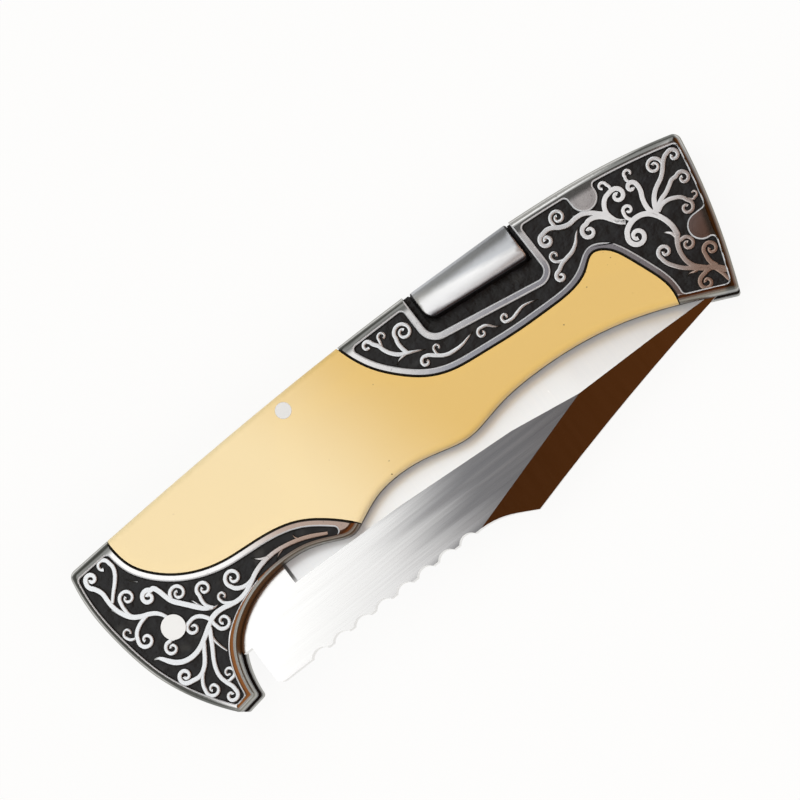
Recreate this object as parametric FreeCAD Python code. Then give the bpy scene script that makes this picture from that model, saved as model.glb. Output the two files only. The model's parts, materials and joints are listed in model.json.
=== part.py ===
import FreeCAD, Part
import math
import os

# Folding pocket knife with a lock bar along its spine, lying closed on its right side.
# The plan is drawn about the blade pivot: X runs to the butt, Y to the spine, Z out of the left side.

# Handle
handle_length = 121.0
handle_height = 37.0
edge_rounding = 1.2
spine_corner_round = 1.4
belly_corner_round = 0.6
liner_thickness = 1.2
cover_thickness = 3.4
inlay_gap = 0.2

# Bolsters
rim_width = 1.15
spine_rim = 1.75
throat_lip = 1.4
arm_lip = 0.6
field_depth = 0.6
field_round = 0.7
lobe_radius = 2.3

# Blade
blade_thickness = 3.0
edge_thickness = 0.25
scallop_count = 8
scallop_radius = 1.95
scallop_depth = 0.85
shoulder_reach = 7.6
shoulder_round = 1.2

# Tang and lock tooth
tang_radius = 8.0
kick_rise = 1.6
kick_gap = 0.25
shelf_rise = 1.9
shelf_gap = 0.3
tooth_front = 5.1
tooth_back = 1.6
tooth_front_gap = 0.8
tooth_back_gap = 0.45
notch_depth = 1.5
riding_gap = 0.15

# Pins, washers and fits
pivot_pin_diameter = 4.1
lock_bar_pin_diameter = 2.7
rivet_diameter = 3.0
running_clearance = 0.05
pin_seat_clearance = 0.02
washer_thickness = 0.16
washer_width = 2.9
side_play = 0.04

# Thumb saddle and its recess
press_angle = 4.0
saddle_inset = 0.5
bridge_depth = 3.2
leg_clearance = 0.15
saddle_front_gap = 1.2
saddle_rear_gap = 0.6
saddle_floor_gap = 0.65
notch_front_gap = 0.25
notch_rear_gap = 0.1
saddle_front_round = 2.0
saddle_rear_round = 1.0
saddle_edge_round = 0.5
recess_front_round = 2.3
recess_rear_round = 1.6

# Lock spring and back spacer
spring_thickness = 0.9
spring_side_gap = 0.15
spring_touch_gap = 0.05
spring_slot_gap = 0.02
spacer_gap = 0.1

# Overrun of every cut
overrun = 4.0
upright_share = 0.9
corner_wall_share = 0.85
corner_angle = math.radians(12)

# Plan of the handle, in shares of its length and height from the pivot
spine_shares = [
    (-0.0712, 0.466), (0.165, 0.511), (0.413, 0.5305), (0.661, 0.507), (0.826, 0.4445), (0.9285, 0.3615)]
butt_end_shares = [(0.9285, 0.3615), (0.904, 0.0135), (0.865, -0.3405)]
belly_shares = [
    (0.865, -0.3405), (0.826, -0.281), (0.792, -0.231), (0.727, -0.151), (0.661, -0.1015), (0.587, -0.081),
    (0.5165, -0.097), (0.463, -0.1255), (0.413, -0.0905), (0.3595, -0.066), (0.318, -0.083), (0.282, -0.132),
    (0.2635, -0.151), (0.243, -0.131), (0.2075, -0.083), (0.168, -0.0675), (0.124, -0.085), (0.0835, -0.1405),
    (0.055, -0.220), (0.039, -0.327), (0.033, -0.451)]
guard_tip_shares = [(0.033, -0.451), (0.002, -0.468)]
front_end_shares = [
    (0.002, -0.468), (-0.0305, -0.3215), (-0.0595, -0.116), (-0.073, 0.0865), (-0.078, 0.262),
    (-0.0712, 0.466)]

# Lip of the guard's field along the belly from the tip, in shares of its change from throat to arm
lip_shares = [0, 0, 0.1, 0.45, 0.8] + [1] * (len(belly_shares) - 5)

# Lines where the scale meets the bolsters
front_joint_shares = [
    (-0.001, 0.60), (-0.003, 0.411), (0.0035, 0.327), (0.0175, 0.257), (0.041, 0.185), (0.0745, 0.1245),
    (0.1075, 0.0945), (0.149, 0.081), (0.182, 0.0675), (0.215, 0.035), (0.248, -0.035), (0.280, -0.1405),
    (0.2935, -0.203)]
rear_joint_shares = [
    (0.394, 0.60), (0.404, 0.457), (0.4175, 0.365), (0.442, 0.265), (0.471, 0.185), (0.500, 0.143),
    (0.5455, 0.119), (0.595, 0.1015), (0.653, 0.093), (0.698, 0.100), (0.7215, 0.131), (0.7415, 0.169),
    (0.760, 0.1405), (0.775, 0.057), (0.7875, -0.0515), (0.795, -0.1485), (0.7935, -0.216), (0.785, -0.284)]

# Places on the handle
lock_bar_pin_share = (0.2905, 0.454)
spine_rivet_share = (0.777, 0.384)
butt_rivet_share = (0.877, -0.027)
saddle_top_shares = [(0.5157, 0.530), (0.6736, 0.513)]
saddle_bottom_shares = [(0.5157, 0.3755), (0.6736, 0.321)]
saddle_side_shares = [(1.0, 0.0), (1.0, 0.7), (0.86, 1.0), (0.58, 1.0)]
spacer_inner_shares = [(0.790, 0.092), (0.843, -0.086), (0.860, -0.162)]
spacer_front_bottom_share = 0.124
spring_tail_share = (0.756, 0.170)
spring_bend_share = (0.678, 0.170)
spring_tip_share = 0.549

# Closed blade
blade_spine_shares = [(0.0727, -0.468), (0.395, -0.4675)]
scallop_span_shares = (0.1305, 0.3788)
clip_notch_shares = [
    (0.395, -0.4675), (0.416, -0.4715), (0.4355, -0.486), (0.456, -0.515), (0.4795, -0.5555)]
clip_shares = [(0.4795, -0.5555), (0.6625, -0.406), (0.861, -0.277)]
edge_shares = [
    (0.861, -0.277), (0.82, -0.162), (0.7685, -0.062), (0.7025, 0.0215), (0.62, 0.0785), (0.5125, 0.100),
    (0.161, 0.1055)]
choil_shares = [(0.161, 0.1055), (0.144, 0.117), (0.128, 0.170)]
kick_shares = (1.75, 1.3)
kick_foot_share = 0.7
swedge_line_shares = [(0.4025, -0.4675), (0.6145, -0.2635)]

# Stations of the ground bevel: along the handle, grind line, edge line, thickness left at the grind line
bevel_shares = [
    (0.161, -0.158, 0.1055, 1.0), (0.33, -0.172, 0.103, 1.0), (0.5125, -0.212, 0.100, 1.0),
    (0.6145, -0.2635, 0.081, 1.0), (0.744, -0.266, -0.026, 0.54), (0.81, -0.2715, -0.140, 0.29),
    (0.8565, -0.2765, -0.2645, 0.13)]
bevel_reach_share = 0.35

blade_half = blade_thickness / 2
liner_inner = blade_half + side_play + washer_thickness
liner_outer = liner_inner + liner_thickness
cover_outer = liner_outer + cover_thickness
lock_bar_bottom = tang_radius + kick_rise + kick_gap
shelf_height = tang_radius + shelf_rise
tooth_radius = tang_radius + riding_gap
saddle_half_width = cover_outer - saddle_inset
leg_inner = liner_outer + leg_clearance
far_above = handle_height
far_behind = 2 * handle_length
to_butt = FreeCAD.Vector(1, 0, 0)
to_front = FreeCAD.Vector(-1, 0, 0)
to_spine = FreeCAD.Vector(0, 1, 0)
to_blade = FreeCAD.Vector(0, -1, 0)


def place(share):
    """Point of the plan from shares of the handle's length and height."""
    return FreeCAD.Vector(share[0] * handle_length, share[1] * handle_height, 0)


def places(shares):
    return [place(share) for share in shares]


def line(points):
    """Straight edges through the points."""
    return [Part.makeLine(a, b) for a, b in zip(points, points[1:])]


def arc(points):
    return [Part.Arc(*points).toShape()]


def curve(points):
    """One smooth edge through the points."""
    spline = Part.BSplineCurve()
    spline.interpolate(points)
    return [spline.toShape()]


def face(edges):
    return Part.Face(Part.Wire(Part.__sortEdges__(edges)))


def slab(plan, low, high):
    """Plate with the given plan between two heights."""
    base = plan.copy()
    base.translate(FreeCAD.Vector(0, 0, low))
    return base.extrude(FreeCAD.Vector(0, 0, high - low))


def through(plan):
    """Cutter with the given plan, through the whole knife."""
    return slab(plan, -cover_outer - overrun, cover_outer + overrun)


def rounded(corners, radii):
    """Plan with straight sides whose corners are rounded by their own radii."""
    edges = []
    ends = []
    for index, (corner, radius) in enumerate(zip(corners, radii)):
        to_last = (corners[index - 1] - corner).normalize()
        to_next = (corners[(index + 1) % len(corners)] - corner).normalize()
        if radius == 0:
            ends.append((corner, corner))
            continue
        half_angle = to_last.getAngle(to_next) / 2
        set_back = radius / math.tan(half_angle)
        inward = (to_last + to_next).normalize()
        middle = corner + inward * (radius / math.sin(half_angle) - radius)
        start = corner + to_last * set_back
        end = corner + to_next * set_back
        edges += arc([start, middle, end])
        ends.append((start, end))
    for index, (start, end) in enumerate(ends):
        edges += line([end, ends[(index + 1) % len(ends)][0]])
    return face(edges)


def mirrored(shape):
    return shape.mirror(FreeCAD.Vector(0, 0, 0), FreeCAD.Vector(0, 0, 1))


def rod(share, radius):
    """Round rod along Z through the whole knife."""
    centre = place(share)
    centre.z = -cover_outer - overrun
    return Part.makeCylinder(radius, 2 * (cover_outer + overrun), centre)


def pressed(point):
    """Where a point of the lock bar goes when the thumb saddle is pressed home."""
    turn = FreeCAD.Rotation(FreeCAD.Vector(0, 0, 1), -press_angle)
    pin = place(lock_bar_pin_share)
    return pin + turn.multVec(point - pin)


def corner_edges(block):
    """Upright edges of a block at the corners of its plan, where two sides meet at an angle."""
    corners = []
    for edge in block.Edges:
        middle = edge.CenterOfMass
        if abs(edge.tangentAt(edge.FirstParameter).z) > upright_share:
            sides = block.ancestorsOfType(edge, Part.Face)
            normals = [side.normalAt(*side.Surface.parameter(middle)) for side in sides]
            if normals[0].getAngle(normals[1]) > corner_angle:
                corners.append(edge)
    return corners


def handle_plan():
    """Outline of the handle with its five corners rounded."""
    edges = curve(places(spine_shares))
    edges += arc(places(butt_end_shares))
    edges += curve(places(belly_shares))
    edges += line(places(guard_tip_shares))
    edges += curve(places(front_end_shares))
    block = slab(face(edges), 0, cover_outer)
    block = block.makeFillet(spine_corner_round, [edge for edge in corner_edges(block) if edge.CenterOfMass.y > 0])
    block = block.makeFillet(belly_corner_round, corner_edges(block))
    return min(block.Faces, key=lambda side: side.CenterOfMass.z)


def envelope(plan):
    """The whole handle as one block, with its rims rounded."""
    block = slab(plan, -cover_outer, cover_outer)
    rims = [
        edge for edge in block.Edges if abs(abs(edge.CenterOfMass.z) - cover_outer) < edge_rounding]
    return block.makeFillet(edge_rounding, rims).Solids[0]


def beside(points, shifts, towards):
    """Plan on the right of a curve whose points are first moved to its right, filled far out in one direction."""
    spline = Part.BSplineCurve()
    spline.interpolate(points)
    moved = []
    for point, shift in zip(points, shifts):
        tangent = spline.tangent(spline.parameter(point))[0]
        moved.append(point + FreeCAD.Vector(tangent.y, -tangent.x, 0) * shift)
    start_way = (moved[0] - moved[1]).normalize()
    end_way = (moved[-1] - moved[-2]).normalize()
    start = moved[0] + start_way * handle_height
    end = moved[-1] + end_way * handle_height
    far = towards * handle_length
    return face(curve(moved) + line([moved[-1], end, end + far, start + far, start, moved[0]]))


def shared(plans):
    """What all the plans have in common."""
    result = plans[0]
    for plan in plans[1:]:
        result = result.common(plan)
    return result


def inside(shares, shift, towards):
    """Plan beside a line of the handle, all of it moved by one distance."""
    return beside(places(shares), [shift] * len(shares), towards)


def below_belly(tip_lip, far_lip):
    """Everything below the handle's belly, with a lip of the handle that changes along the guard."""
    lips = [tip_lip + (far_lip - tip_lip) * share for share in lip_shares]
    return beside(places(reversed(belly_shares)), [-lip for lip in lips], to_blade)


def front_region(shift):
    """Everything ahead of the joint between scale and front bolster, moved into the bolster."""
    return inside(front_joint_shares, shift, to_front)


def rear_region(shift):
    """Everything behind the joint between scale and rear bolster, moved into the bolster."""
    return inside(rear_joint_shares[::-1], shift, to_butt)


def saddle_recess(growth):
    """Cut in the spine that takes the thumb saddle with its travel, grown all round."""
    drop = FreeCAD.Vector(0, -saddle_floor_gap - growth, 0)
    front, rear = [pressed(point) + drop for point in places(saddle_bottom_shares)]
    top_front, top_rear = places(saddle_top_shares)
    slope = (rear.y - front.y) / (rear.x - front.x)
    front_x = top_front.x - saddle_front_gap - growth
    rear_x = top_rear.x + saddle_rear_gap + growth
    corners = [
        FreeCAD.Vector(front_x, far_above, 0),
        FreeCAD.Vector(front_x, front.y + slope * (front_x - front.x), 0),
        FreeCAD.Vector(rear_x, rear.y + slope * (rear_x - rear.x), 0),
        FreeCAD.Vector(rear_x, far_above, 0)]
    return rounded(corners, [0, recess_front_round + growth, recess_rear_round + growth, 0])


def bridge_line():
    """Underside of the saddle's bridge, where it sits on the lock bar."""
    return [point - FreeCAD.Vector(0, bridge_depth, 0) for point in places(saddle_top_shares)]


def liner_notch():
    """Cut in a liner that the saddle's bridge sinks into."""
    front, rear = [pressed(point) - FreeCAD.Vector(0, saddle_floor_gap, 0) for point in bridge_line()]
    top_front, top_rear = places(saddle_top_shares)
    front_x = top_front.x - notch_front_gap
    rear_x = top_rear.x + notch_rear_gap
    corners = [
        FreeCAD.Vector(front_x, far_above, 0), FreeCAD.Vector(front_x, front.y, 0),
        FreeCAD.Vector(rear_x, rear.y, 0), FreeCAD.Vector(rear_x, far_above, 0)]
    return rounded(corners, [0, 0, 0, 0])


def pin_holes(clearance):
    """Cutters for the four pins that hold the handle together."""
    return [
        rod((0, 0), pivot_pin_diameter / 2 + clearance),
        rod(lock_bar_pin_share, lock_bar_pin_diameter / 2 + clearance),
        rod(spine_rivet_share, rivet_diameter / 2 + clearance),
        rod(butt_rivet_share, rivet_diameter / 2 + clearance)]


def liner(plan):
    plate = slab(plan, liner_inner, liner_outer)
    return plate.cut([through(liner_notch())] + pin_holes(pin_seat_clearance))


def cover_block(plan, whole):
    """Left part of the handle block, outside the liner."""
    return whole.common(slab(plan, liner_outer, cover_outer + overrun))


def field_cutter(field):
    return slab(field, cover_outer - field_depth, cover_outer + overrun)


def front_field():
    """Sunk field of the front bolster, inside its rim and the thin lip of the guard."""
    field = shared([
        front_region(rim_width),
        inside(spine_shares, spine_rim, to_blade),
        inside(front_end_shares, rim_width, to_butt),
        inside(guard_tip_shares, rim_width, to_spine)])
    return field.cut(below_belly(throat_lip, arm_lip))


def rear_field():
    """Sunk field of the rear bolster, inside its rim and the rim of the saddle's recess."""
    field = shared([
        rear_region(rim_width),
        inside(spine_shares, spine_rim, to_blade),
        inside(butt_end_shares, rim_width, to_front)])
    return field.cut([below_belly(rim_width, rim_width), saddle_recess(rim_width)])


def rounded_field(field):
    """Field cutter with its corners rounded, as far as the narrowest wall beside them allows."""
    corners = corner_edges(field)
    walls = [wall.Area / corner.Length for corner in corners for wall in field.ancestorsOfType(corner, Part.Face)]
    return field.makeFillet(min(field_round, min(walls) * corner_wall_share), corners)


def front_bolster(block):
    field = rounded_field(field_cutter(front_field()))
    bolster = block.common(through(front_region(0)))
    return bolster.cut([field] + pin_holes(pin_seat_clearance))


def lobe(share, towards):
    """Raised seat round a rivet, joined to the rim on one side."""
    centre = place(share)
    side = FreeCAD.Vector(-towards.y, towards.x, 0) * lobe_radius
    far = centre + towards * handle_height
    neck = face(line([centre + side, far + side, far - side, centre - side, centre + side]))
    return [rod(share, lobe_radius), through(neck)]


def rear_bolster(block):
    lobes = lobe(spine_rivet_share, to_spine) + lobe(butt_rivet_share, to_butt)
    field = rounded_field(field_cutter(rear_field()).cut(lobes))
    bolster = block.common(through(rear_region(0)))
    return bolster.cut([field, through(saddle_recess(0))] + pin_holes(pin_seat_clearance))


def scale(block):
    """Resin scale let in between the bolsters."""
    bolsters = [through(front_region(-inlay_gap)), through(rear_region(-inlay_gap))]
    return block.cut(bolsters + pin_holes(pin_seat_clearance))


def tooth_tip(distance):
    """Point of the lock tooth's tip at a distance ahead of the pivot."""
    return FreeCAD.Vector(-distance, math.sqrt(tooth_radius ** 2 - distance ** 2), 0)


def lock_bar(plan):
    """Rocker along the spine, with a tooth at its front end and a seat for the saddle at its tail."""
    pin = place(lock_bar_pin_share)
    bridge_front, bridge_rear = bridge_line()
    front_x = -shoulder_reach + shelf_gap
    nose_bottom = shelf_height + shelf_gap + notch_depth
    lean = (pin.y - nose_bottom) * math.tan(math.radians(press_angle))
    front, back = tooth_tip(tooth_front), tooth_tip(tooth_back)
    middle = tooth_tip((tooth_front + tooth_back) / 2)
    edges = line([
        FreeCAD.Vector(bridge_front.x, far_above, 0), FreeCAD.Vector(front_x, far_above, 0),
        FreeCAD.Vector(front_x, pin.y, 0), FreeCAD.Vector(front_x + lean, nose_bottom, 0),
        FreeCAD.Vector(front.x, nose_bottom, 0), front])
    edges += arc([front, middle, back])
    edges += line([
        back, FreeCAD.Vector(back.x, lock_bar_bottom, 0), FreeCAD.Vector(bridge_rear.x, lock_bar_bottom, 0),
        bridge_rear, bridge_front, FreeCAD.Vector(bridge_front.x, far_above, 0)])
    bar = slab(face(edges), -blade_half, blade_half)
    hole = rod(lock_bar_pin_share, lock_bar_pin_diameter / 2 + running_clearance)
    return bar.common(through(plan)).cut(hole)


def thumb_saddle():
    """Half round thumb piece that straddles the liners and sits on the lock bar."""
    top_front, top_rear = places(saddle_top_shares)
    bottom_front, bottom_rear = places(saddle_bottom_shares)
    height = top_front.y - bottom_front.y
    side = [
        FreeCAD.Vector(top_front.x, bottom_front.y + up * height, out * saddle_half_width)
        for out, up in saddle_side_shares]
    far_side = [FreeCAD.Vector(point.x, point.y, -point.z) for point in reversed(side)]
    left = Part.BezierCurve()
    left.setPoles(side)
    right = Part.BezierCurve()
    right.setPoles(far_side)
    skirt = FreeCAD.Vector(0, -height, 0)
    edges = [left.toShape(), right.toShape()] + line([side[-1], far_side[0]])
    edges += line([far_side[-1], far_side[-1] + skirt, side[0] + skirt, side[0]])
    bar = face(edges).extrude(top_rear - top_front)
    rise = FreeCAD.Vector(0, height, 0)
    outline = rounded(
        [top_front + rise, bottom_front, bottom_rear, top_rear + rise],
        [0, saddle_front_round, saddle_rear_round, 0])
    body = bar.common(through(outline))
    lower_edges = [
        edge for edge in body.Edges
        if abs(abs(edge.CenterOfMass.z) - saddle_half_width) < saddle_edge_round / 2]
    body = body.makeFillet(saddle_edge_round, lower_edges)
    front, rear = bridge_line()
    along = (rear - front).normalize() * overrun
    down = FreeCAD.Vector(0, -handle_height, 0)
    corners = [front - along, rear + along, rear + along + down, front - along + down]
    slot = face(line(corners + [corners[0]]))
    return body.cut(slab(slot, -leg_inner, leg_inner))


def spring_plan(gap):
    """Plan of the leaf spring: a straight tail, then an arc that rises to the lock bar."""
    tail = place(spring_tail_share)
    bend = place(spring_bend_share)
    tip_x = spring_tip_share * handle_length
    half = spring_thickness / 2 + gap
    tip_y = lock_bar_bottom - spring_touch_gap - spring_thickness / 2
    run = bend.x - tip_x
    rise = tip_y - bend.y
    radius = (run ** 2 + rise ** 2) / (2 * rise)
    centre = bend + FreeCAD.Vector(0, radius, 0)
    sweep = math.asin(run / radius)

    def on_arc(distance, turn):
        return centre + FreeCAD.Vector(-math.sin(turn), -math.cos(turn), 0) * distance

    inner, outer = radius - half, radius + half
    flat_tip = lock_bar_bottom - spring_touch_gap
    tip_turn = min(sweep, math.acos((centre.y - flat_tip) / inner))
    tail_top = FreeCAD.Vector(tail.x + gap, tail.y + half, 0)
    tail_bottom = FreeCAD.Vector(tail.x + gap, tail.y - half, 0)
    edges = line([on_arc(inner, 0), tail_top, tail_bottom, on_arc(outer, 0)])
    edges += arc([on_arc(outer, 0), on_arc(outer, tip_turn / 2), on_arc(outer, tip_turn)])
    edges += line([on_arc(outer, tip_turn), on_arc(inner, tip_turn)])
    edges += arc([on_arc(inner, tip_turn), on_arc(inner, tip_turn / 2), on_arc(inner, 0)])
    return face(edges)


def lock_spring():
    half = blade_half - spring_side_gap
    return slab(spring_plan(0), -half, half)


def back_spacer(plan):
    """Filler between the liners at the butt, slotted for the spring's tail."""
    front_x = place(saddle_top_shares[1]).x + spacer_gap
    front_bottom = spacer_front_bottom_share * handle_height
    inner = places(spacer_inner_shares)
    corners = [FreeCAD.Vector(front_x, far_above, 0), FreeCAD.Vector(front_x, front_bottom, 0)]
    corners += inner
    corners += [FreeCAD.Vector(far_behind, inner[-1].y, 0), FreeCAD.Vector(far_behind, far_above, 0)]
    region = face(line(corners + [corners[0]]))
    filler = slab(plan, -liner_inner, liner_inner).common(through(region))
    return filler.cut([through(spring_plan(spring_slot_gap))] + pin_holes(pin_seat_clearance))


def tang_edges(spine_start, choil_end):
    """Edges of the closed tang, from the choil round the pivot to the shoulder of the spine."""
    kick_top = tang_radius + kick_rise
    kick = [FreeCAD.Vector(share * tang_radius, kick_top, 0) for share in kick_shares]
    foot = FreeCAD.Vector(kick_foot_share * tang_radius, tang_radius, 0)
    wall_back = tooth_back - tooth_back_gap
    wall_front = tooth_front + tooth_front_gap
    hump = FreeCAD.Vector(wall_back, -math.sqrt(tang_radius ** 2 - wall_back ** 2), 0)
    top = FreeCAD.Vector(0, tang_radius, 0)
    floor_back = FreeCAD.Vector(wall_back, notch_depth - tooth_tip(tooth_back).y, 0)
    floor_front = FreeCAD.Vector(wall_front, notch_depth + tooth_back_gap - tooth_tip(tooth_front).y, 0)
    shelf = [FreeCAD.Vector(wall_front, -shelf_height, 0), FreeCAD.Vector(shoulder_reach, -shelf_height, 0)]
    shoulder = FreeCAD.Vector(shoulder_reach, spine_start.y + shoulder_round, 0)
    spine_point = FreeCAD.Vector(shoulder_reach + shoulder_round, spine_start.y, 0)
    half_way = shoulder_round * (1 - math.cos(math.pi / 4))
    bend = FreeCAD.Vector(shoulder_reach + half_way, spine_start.y + half_way, 0)
    edges = line([choil_end] + kick + [foot, top])
    edges += arc([top, FreeCAD.Vector(-tang_radius, 0, 0), hump])
    edges += line([hump, floor_back, floor_front] + shelf + [shoulder])
    edges += arc([shoulder, bend, spine_point])
    return edges, spine_point


def blade_plan():
    spine_start, spine_end = places(blade_spine_shares)
    choil = places(choil_shares)
    edge_line = places(edge_shares)
    tang, spine_point = tang_edges(spine_start, choil[-1])
    edges = tang + line([spine_point, spine_end])
    edges += curve(places(clip_notch_shares)) + arc(places(clip_shares))
    edges += curve(edge_line[:-1]) + line(edge_line[-2:]) + curve(choil)
    return face(edges)


def scallops():
    """Round cutters that scallop the blade's spine into a thumb grip."""
    start, end = places(blade_spine_shares)
    first, last = [share * handle_length for share in scallop_span_shares]
    cutters = []
    for index in range(scallop_count):
        x = first + (last - first) * index / (scallop_count - 1)
        spine_y = start.y + (end.y - start.y) * (x - start.x) / (end.x - start.x)
        centre = FreeCAD.Vector(x, spine_y + scallop_depth - scallop_radius, -blade_thickness)
        cutters.append(Part.makeCylinder(scallop_radius, 2 * blade_thickness, centre))
    return cutters


def bevel_cutter():
    """Wedge that grinds the left face down to the edge."""
    edge_half = edge_thickness / 2
    sections = []
    for along, grind, edge, left in bevel_shares:
        x = along * handle_length
        grind_point = FreeCAD.Vector(x, grind * handle_height, left * blade_half)
        edge_point = FreeCAD.Vector(x, edge * handle_height, edge_half)
        reach = (grind_point - edge_point) * bevel_reach_share
        above = grind_point + reach
        beyond = edge_point - reach
        top = blade_half + overrun
        corners = [FreeCAD.Vector(x, beyond.y, top), FreeCAD.Vector(x, above.y, top)]
        sections.append(Part.makePolygon([above, beyond] + corners + [above]))
    return Part.makeLoft(sections, True, True)


def swedge_cutter():
    """Flat that thins the left face from the swedge line to the clip."""
    start, end = places(swedge_line_shares)
    tip = place(clip_shares[-1])
    start.z = end.z = blade_half
    tip.z = edge_thickness / 2
    along = (end - start).normalize()
    normal = along.cross(tip - start).normalize()
    if normal.z < 0:
        normal = -normal
    across = normal.cross(along)
    corners = [
        start + along * a * handle_length + across * b * handle_length
        for a, b in ((-1, -1), (1, -1), (1, 1), (-1, 1))]
    flat = Part.Face(Part.makePolygon(corners + [corners[0]]))
    return flat.extrude(normal * overrun)


def blade():
    body = slab(blade_plan(), -blade_half, blade_half)
    bevel = bevel_cutter()
    swedge = swedge_cutter()
    grinds = [bevel, mirrored(bevel), swedge, mirrored(swedge)]
    hole = rod((0, 0), pivot_pin_diameter / 2 + running_clearance)
    return body.cut(grinds).cut(scallops() + [hole])


def pivot_washer():
    inner = pivot_pin_diameter / 2 + running_clearance
    base = FreeCAD.Vector(0, 0, liner_inner - washer_thickness)
    ring = Part.makeCylinder(inner + washer_width, washer_thickness, base)
    return ring.cut(rod((0, 0), inner))


def flush_pin(share, diameter, whole):
    """Pin through the whole handle, ground flush with its faces."""
    return rod(share, diameter / 2).common(whole)


def knife():
    """Every piece by name, in the pivot's frame."""
    plan = handle_plan()
    whole = envelope(plan)
    block = cover_block(plan, whole)
    pieces = {
        "blade": blade(),
        "lock_bar": lock_bar(plan),
        "thumb_saddle": thumb_saddle(),
        "lock_spring": lock_spring(),
        "back_spacer": back_spacer(plan),
        "blade_pivot_pin": flush_pin((0, 0), pivot_pin_diameter, whole),
        "lock_bar_pin": flush_pin(lock_bar_pin_share, lock_bar_pin_diameter, whole),
        "spine_rivet": flush_pin(spine_rivet_share, rivet_diameter, whole),
        "butt_rivet": flush_pin(butt_rivet_share, rivet_diameter, whole)}
    left_pieces = {
        "liner": liner(plan),
        "scale": scale(block),
        "front_bolster": front_bolster(block),
        "rear_bolster": rear_bolster(block),
        "pivot_washer": pivot_washer()}
    for name, shape in left_pieces.items():
        pieces["left_" + name] = shape
        pieces["right_" + name] = mirrored(shape)
    return pieces


os.makedirs("parts", exist_ok=True)
all_pieces = knife()
box = FreeCAD.BoundBox()
for shape in all_pieces.values():
    box.add(shape.optimalBoundingBox(False))
stand = FreeCAD.Vector(-(box.XMin + box.XMax) / 2, -(box.YMin + box.YMax) / 2, -box.ZMin)
for name, shape in all_pieces.items():
    shape.translate(stand)
    shape.exportStep("parts/" + name + ".step")
    print(name, len(shape.Solids), round(shape.Volume, 2), shape.isValid())
print("pivot", stand, "lock bar pin", stand + place(lock_bar_pin_share))
print("size", box.XLength, box.YLength, box.ZLength)
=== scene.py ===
import json
import math

import bmesh
import bpy
from mathutils import Matrix, Vector
from mathutils.bvhtree import BVHTree


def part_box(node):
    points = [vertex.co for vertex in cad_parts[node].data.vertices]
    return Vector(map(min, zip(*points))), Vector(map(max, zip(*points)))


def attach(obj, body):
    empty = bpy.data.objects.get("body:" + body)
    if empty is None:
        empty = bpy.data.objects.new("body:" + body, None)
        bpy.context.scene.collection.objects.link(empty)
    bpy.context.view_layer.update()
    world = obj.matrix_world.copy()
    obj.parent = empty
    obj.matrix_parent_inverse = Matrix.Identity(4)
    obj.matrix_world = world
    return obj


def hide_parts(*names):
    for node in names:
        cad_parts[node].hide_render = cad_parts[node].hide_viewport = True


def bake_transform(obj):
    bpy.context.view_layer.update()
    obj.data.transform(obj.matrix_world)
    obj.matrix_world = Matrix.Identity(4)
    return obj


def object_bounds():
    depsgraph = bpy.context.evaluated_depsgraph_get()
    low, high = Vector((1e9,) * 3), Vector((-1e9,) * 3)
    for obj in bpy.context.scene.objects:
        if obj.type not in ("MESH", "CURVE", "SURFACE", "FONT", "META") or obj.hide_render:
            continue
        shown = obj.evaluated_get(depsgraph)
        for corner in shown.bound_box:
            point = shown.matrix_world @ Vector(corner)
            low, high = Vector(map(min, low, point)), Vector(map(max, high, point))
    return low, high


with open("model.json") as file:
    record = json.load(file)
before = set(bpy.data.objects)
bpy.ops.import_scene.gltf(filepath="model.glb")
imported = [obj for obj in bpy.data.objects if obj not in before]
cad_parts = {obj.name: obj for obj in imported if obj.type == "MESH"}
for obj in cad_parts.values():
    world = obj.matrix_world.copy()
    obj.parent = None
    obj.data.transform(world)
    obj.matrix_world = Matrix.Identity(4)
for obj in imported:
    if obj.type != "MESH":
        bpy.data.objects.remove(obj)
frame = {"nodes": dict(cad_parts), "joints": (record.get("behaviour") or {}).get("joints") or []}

cad_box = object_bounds()
nodes = frame["nodes"]

# Lengths are in metres; the ornament is drawn in millimetres about the blade pivot
mm = 0.001
pivot = Vector(frame["joints"][0]["pos_m"])
middle_height = pivot.z
cover_height = cad_box[1].z - middle_height
field_depth = 0.6 * mm
field_height = cover_height - field_depth
liner_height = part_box("left_liner")[1].z - middle_height
same_place = 0.01 * mm
merging_reach = 0.002 * mm
flat_angle = 0.3
rim_softening = 0.24 * mm
rim_zone = 0.1 * mm
black_width = 0.2 * mm
recess_margin = 2 * mm
rivet_margin = 0.1 * mm
probe_step = 0.3 * mm
probe_depth = 3 * mm
spacer_reach = 0.09 * mm
spring_cuts = 16
tail_zone = 0.05 * mm
tail_easing = 1.6 * mm
scroll_weight = 1.1
scroll_height = 0.34 * mm
scroll_foot = 0.12 * mm
scroll_merging = 0.001 * mm
crest_grinding = 8
taper_points = 2.5
tip_width = 0.8
curl_winding = 0.84
curl_steps = 12
curl_least_steps = 4
curl_eye = 0.22
short_curl = 0.8
short_curl_eye = 0.45
curl_taper = 0.32
bud_width = 0.9
floor_half_size = 1.5
floor_drop = 0.05 * mm
floor_glow = 0.9
lamp_size = 0.9

# How far a face is turned to the side of the knife, from 0 for an upright wall to 1 for a level face
upright_wall = 0.1
rim_top = 0.9
level_floor = 0.99
blade_edge = 0.7
blade_flat = 0.9995
quite_level = 0.9998
scroll_crest = 0.5

SIDES = {"left": 1, "right": -1}
PINS = ("blade_pivot_pin", "lock_bar_pin")
RIVETS = ("spine_rivet", "butt_rivet")

# Places of the finishes on a bolster and on the blade
POLISHED, BLACKENED, RIM, CORNER = range(4)
FLAT, BEVEL, SWEDGE, EDGE = range(4)


# Shader values

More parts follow.
